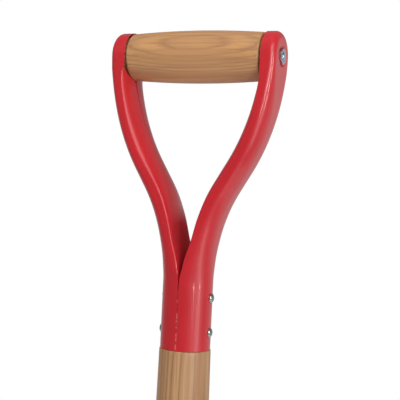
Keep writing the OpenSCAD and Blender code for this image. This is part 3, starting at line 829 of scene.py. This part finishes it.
def shaft_piece():
    """Ash shaft: tenon in the collar, straight middle, and a taper that fits the socket."""
    low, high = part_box("shaft")
    shaft_r = high.x
    neck_r, neck_ease = 19.5 * MM, 0.9 * MM
    foot_r, foot_ease = 19.8 * MM, 1.5 * MM
    middle_low, middle_high = 710 * MM, 830 * MM
    clearance = 0.1 * MM
    end_chamfer, tenon_chamfer = 2 * MM, 3 * MM
    tenon_r = COLLAR_R - SHEET - clearance
    gap = SOCKET_WALL + clearance
    mouth = SOCKET_HIGH.z
    collar_z = GRIP_Z - COLLAR_DROP
    profile = [(0.0, low.z), (socket_outer(low.z) - gap - end_chamfer, low.z)]
    profile += [(socket_outer(low.z + 2 * end_chamfer) - gap, low.z + 2 * end_chamfer)]
    profile += [(socket_outer(mouth) - gap, mouth + 0.2 * MM)]
    profile += arc((foot_r - foot_ease, mouth + 2.0 * MM), foot_ease, -80, 0, 5)
    profile += [(shaft_r - 0.2 * MM, middle_low - 25 * MM), (shaft_r, middle_low), (shaft_r, middle_high)]
    profile += [(shaft_r - 0.12 * MM, middle_high + 15 * MM), (shaft_r - 0.5 * MM, collar_z - 40 * MM)]
    profile += [(neck_r + 0.05 * MM, collar_z - 4 * MM)]
    profile += arc((neck_r - neck_ease, collar_z - 1.1 * MM), neck_ease, 0, 85, 5)
    profile += [(tenon_r, collar_z - 0.15 * MM), (tenon_r, high.z - tenon_chamfer)]
    profile += [(tenon_r - tenon_chamfer, high.z), (0.0, high.z)]
    build = bmesh.new()
    revolve(build, divided(profile, 25 * MM), (0, 0, 0), Z_AXIS, 96)
    return put("ash_shaft", build, "tool", ["shaft"], shaft_wood, 50)


shaft_piece()

# ---------------------------------------------------------------- blade, treads and socket
# The blade's half widths, at its top and, with the sides run straight on, at the cutting edge's height
BLADE_TOP_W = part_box("blade")[1].x
BLADE_LOW_W = 60 * MM
BLADE_T = 2.3 * MM
DISH_R = 280 * MM
DISH_Y = 2 * MM
CORNER_R = 24 * MM
SIDE_LEAN = math.atan((BLADE_TOP_W - BLADE_LOW_W) / BLADE_TOP)


def dish(x):
    """Front face of the blade at a distance x from the middle."""
    return DISH_Y - DISH_R + math.sqrt(DISH_R ** 2 - x * x)


def blade_foot(steps):
    """Right half of the blade's lower outline, from the middle of the edge to the end of the corner arc.

    The corner's arc touches the side and, from inside, the arc of the edge; (x, z) is its centre."""
    slope = math.tan(SIDE_LEAN)
    k = BLADE_LOW_W - CORNER_R / math.cos(SIDE_LEAN)
    a = 1 + slope * slope
    b = k * slope - EDGE_R
    c = k * k + EDGE_R ** 2 - (EDGE_R - CORNER_R) ** 2
    z = (-b - math.sqrt(b * b - a * c)) / a
    x = k + slope * z
    edge_turn = math.atan(x / (EDGE_R - z))
    corner_turn = math.pi / 2 - SIDE_LEAN - edge_turn
    edge_steps, corner_steps = 24, 12
    points = []
    for i in range(edge_steps + 1):
        t = edge_turn * i / edge_steps
        points.append(Vector((EDGE_R * math.sin(t), EDGE_R * (1 - math.cos(t)))))
    for i in range(1, corner_steps + 1):
        t = edge_turn + corner_turn * i / corner_steps
        points.append(Vector((x + CORNER_R * math.sin(t), z - CORNER_R * math.cos(t))))
    return resample(points, steps)


def blade_piece():
    """Dished blade: even thickness, eased sides and a cutting edge ground thin from both faces."""
    grind, edge_part = 11 * MM, 0.22
    ease, top_inset = 0.5 * MM, 0.4 * MM
    right = blade_foot(24)
    foot = [Vector((-p.x, p.y)) for p in right[:0:-1]] + right
    last = len(foot) - 1
    top_half = BLADE_TOP_W - top_inset
    top = [Vector((top_half * (2 * k / last - 1), BLADE_TOP)) for k in range(last + 1)]
    ground = [0, 0.004, 0.010, 0.020, 0.034, 0.05]
    stops = ground + [ground[-1] + (1 - ground[-1]) * k / 30 for k in range(1, 31)]
    rings = []
    for s in stops:
        front, back = [], []
        for k, (low, high) in enumerate(zip(foot, top)):
            p = low.lerp(high, s)
            thin = min(1.0, edge_part + (1 - edge_part) * (p - low).length / grind)
            middle = dish(p.x) + BLADE_T / 2
            half_t = BLADE_T / 2 * thin - (ease if k in (0, last) else 0.0)
            front.append(Vector((p.x, middle - half_t, p.y)))
            back.append(Vector((p.x, middle + half_t, p.y)))
        rings.append(front + back[::-1])
    build = bmesh.new()
    rows = loft(build, rings, cap=False)
    for row in (rows[0], rows[-1]):
        for k in range(last):
            build.faces.new((row[k], row[k + 1], row[-2 - k], row[-1 - k]))
    return put("dished_blade", build, "tool", ["blade"], blade_steel, 40)


def tread_piece(name, side, node):
    """Foot tread: the blade's shoulder turned forward through a tight bend, with a rounded outer corner."""
    low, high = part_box(node)
    inside, outside = sorted((abs(low.x), abs(high.x)))
    corner = 5 * MM
    deep = 11 * MM
    bend = 1.6 * MM
    overlap = 0.4 * MM
    straight = outside - corner - inside
    stops = [inside + straight * k / 20 for k in range(21)]
    stops += [outside - corner + corner * math.sin(math.radians(a)) for a in (15, 30, 45, 60, 75, 86)]
    edge = [(0.8 * MM, 0.0), (0.25 * MM, 0.25 * MM), (0.0, 0.9 * MM)]
    rings = []
    for x in stops:
        cut = max(x - (outside - corner), 0)
        pull = corner - math.sqrt(max(corner ** 2 - cut ** 2, 0))
        front = max(dish(x) - deep + pull, low.y)
        back = dish(x) + BLADE_T - overlap
        ring = [(front + run, high.z - fall) for run, fall in edge]
        ring += [(front + run, low.z + fall) for run, fall in reversed(edge)]
        ring += [(back, low.z), (back, high.z - bend)]
        ring += arc((back - bend, high.z - bend), bend, 25, 75, 2) + [(back - bend, high.z)]
        rings.append([Vector((side * x, y, z)) for y, z in ring])
    build = bmesh.new()
    loft(build, rings)
    return put(name, build, "tool", [node], head_steel, 35)


def level_ring(radius, z, steps):
    """Points round the Z axis at a height."""
    turns = [2 * math.pi * k / steps for k in range(steps)]
    return [Vector((radius * math.cos(a), radius * math.sin(a), z)) for a in turns]


def ridge_point(p, low_tip, root):
    """Moves a point of the socket's round outline onto the ridge that runs down one face of the blade."""
    t = clamp((p.z - low_tip) / (root - low_tip))
    swell = eased(t)
    x = p.x * (0.30 + 0.70 * t ** 0.8)
    full = p.y * (0.30 + 0.70 * t ** 0.8)
    outward = math.copysign(1, full)
    face = dish(x) if outward < 0 else dish(x) + BLADE_T
    proud = max((full - face) * outward, 0) * outward * swell
    sunk = 0.5 * MM * (1 - swell) * outward
    y = face + proud - sunk
    if abs(full) < 1e-9:
        y = dish(x) + BLADE_T / 2
    return Vector((x, full * swell ** 4 + y * (1 - swell ** 4), p.z))


def socket_piece():
    """Tapered socket with a rolled mouth, which runs on as a ridge that fades out down both blade faces."""
    steps, ridge_steps, tube_steps = 72, 44, 39
    front_tip, back_tip = SOCKET_LOW.z + 2 * MM, SOCKET_LOW.z + 42 * MM
    root = BLADE_TOP + 1 * MM
    floor = BLADE_TOP + 11 * MM
    roll = 0.9 * MM
    mouth = SOCKET_HIGH.z
    outer = socket_outer(mouth)
    rings = []
    for k in range(ridge_steps + 1):
        ring = level_ring(SOCKET_FOOT_R, front_tip + (root - front_tip) * k / ridge_steps, steps)
        rings.append([ridge_point(p, front_tip if p.y < 0 else back_tip, root) for p in ring])
    for k in range(1, tube_steps + 1):
        z = root + (mouth - 1.2 * MM - root) * k / tube_steps
        rings.append(level_ring(socket_outer(z), z, steps))
    lip = arc((outer - roll, mouth - roll), roll, 20, 160, 6)
    bore = [(outer - SOCKET_WALL, mouth - 5 * MM), (socket_outer(floor) - SOCKET_WALL, floor)]
    rings += [level_ring(r, z, steps) for r, z in lip + bore]
    build = bmesh.new()
    loft(build, rings)
    return put("blade_socket", build, "tool", ["socket"], head_steel, 35)


blade_piece()
tread_piece("tread_steel_left", -1, "tread_left")
tread_piece("tread_steel_right", 1, "tread_right")
socket_piece()

# ---------------------------------------------------------------- floor, light and camera
def floor_piece():
    """Plain pale floor under the upright tool."""
    s = Shader("pale_floor")
    mottle = s.noise(s.mapped((3, 3, 3)), detail=3)
    shade = s.ramp(mottle, [(0.3, rgb(0.86, 0.86, 0.86)), (0.7, rgb(0.90, 0.90, 0.89))])
    material = s.finish(Base_Color=shade, Roughness=0.7, Emission_Color=shade, Emission_Strength=0.35)
    build = bmesh.new()
    bmesh.ops.create_grid(build, x_segments=4, y_segments=4, size=1.4)
    floor = shape("floor", build)
    floor.data.materials.append(material)
    floor.location.z = -0.5 * MM


def softbox(name, place, width, height, watts, gloss=True):
    """Area light turned towards the middle of the handle; without gloss it casts no highlights."""
    light = bpy.data.lights.new(name, "AREA")
    light.shape = "RECTANGLE"
    light.size, light.size_y = width, height
    light.energy = watts
    lamp = bpy.data.objects.new(name, light)
    lamp.location = place
    lamp.visible_camera = False
    lamp.visible_glossy = gloss
    lamp.rotation_mode = "QUATERNION"
    aim = Vector((0, 0, GRIP_Z - 100 * MM))
    lamp.rotation_quaternion = (aim - Vector(place)).to_track_quat("-Z", "Y")
    bpy.context.scene.collection.objects.link(lamp)


def lights():
    """A broad key from the right, soft fills, and narrow and low boxes for the highlights on the enamel."""
    softbox("key_right", (1.1, -1.0, 1.62), 1.2, 1.5, 12.5)
    softbox("fill_left", (-1.05, -1.0, 1.9), 1.2, 1.2, 12, gloss=False)
    softbox("top", (0.1, -0.3, 2.5), 1.2, 1.2, 9, gloss=False)
    softbox("strip_near", (0.90, -0.80, 1.05), 0.05, 0.44, 1.9)
    softbox("strip_far", (1.16, -0.27, 1.05), 0.05, 0.44, 2.1)
    softbox("side_low", (1.20, -0.36, 0.62), 0.45, 0.36, 0.62)
    softbox("side_wide", (1.22, -0.34, 0.62), 1.2, 0.5, 0.8)


def surroundings():
    """White studio: a bright backdrop that the camera sees, and softer light from all round.

    The soft light is strongest behind the tool, from the horizon down; the stops go from nadir to zenith."""
    world = bpy.data.worlds.new("studio")
    s = Nodes(world)
    way = s.add("ShaderNodeSeparateXYZ", {0: s.add("ShaderNodeTexCoord").outputs["Generated"]})
    raised = s.span(way.outputs["Z"], -1.0, 1.0)
    stops = [(0.0, 0.25), (0.35, 0.35), (0.50, 0.40), (0.53, 0.34), (0.57, 0.34), (0.62, 0.05)]
    height = s.ramp(raised, [(place, rgb(glow, glow, glow)) for place, glow in stops], "EASE")
    behind = s.span(way.outputs["Y"], 0.0, 0.75, interpolation_type="SMOOTHSTEP")
    level = s.span(s.math("MULTIPLY", height, behind), 0.0, 1.0, 0.20, 1.0)
    seen = s.add("ShaderNodeBackground", {"Color": rgb(1, 1, 1), "Strength": 1.0})
    cast = s.add("ShaderNodeBackground", {"Color": rgb(1, 1, 1), "Strength": level})
    camera_ray = s.add("ShaderNodeLightPath").outputs["Is Camera Ray"]
    either = s.add("ShaderNodeMixShader", {0: camera_ray, 1: cast.outputs[0], 2: seen.outputs[0]})
    s.add("ShaderNodeOutputWorld", {"Surface": either.outputs[0]})
    bpy.context.scene.world = world
    bpy.context.scene.view_settings.view_transform = "Standard"


def camera():
    """Camera a little to the right of the front, level with the handle, and rolled slightly."""
    azimuth, elevation, roll = math.radians(21.82), math.radians(1.0), math.radians(2.71)
    target = Vector((6.48 * MM, 0, GRIP_Z - 107.36 * MM))
    distance = 686.2 * MM
    right = Vector((math.cos(azimuth), math.sin(azimuth), 0))
    back = Vector((math.sin(azimuth), -math.cos(azimuth), 0)) * math.cos(elevation)
    back.z = math.sin(elevation)
    up = back.cross(right)
    x_axis = right * math.cos(roll) + up * math.sin(roll)
    y_axis = up * math.cos(roll) - right * math.sin(roll)
    data = bpy.data.cameras.new("camera")
    data.sensor_width = 36
    data.lens = 82.05
    view = bpy.data.objects.new("camera", data)
    turn = Matrix((x_axis, y_axis, back)).transposed()
    view.matrix_world = Matrix.Translation(target + back * distance) @ turn.to_4x4()
    bpy.context.scene.collection.objects.link(view)
    bpy.context.scene.camera = view


floor_piece()
surroundings()
lights()
camera()
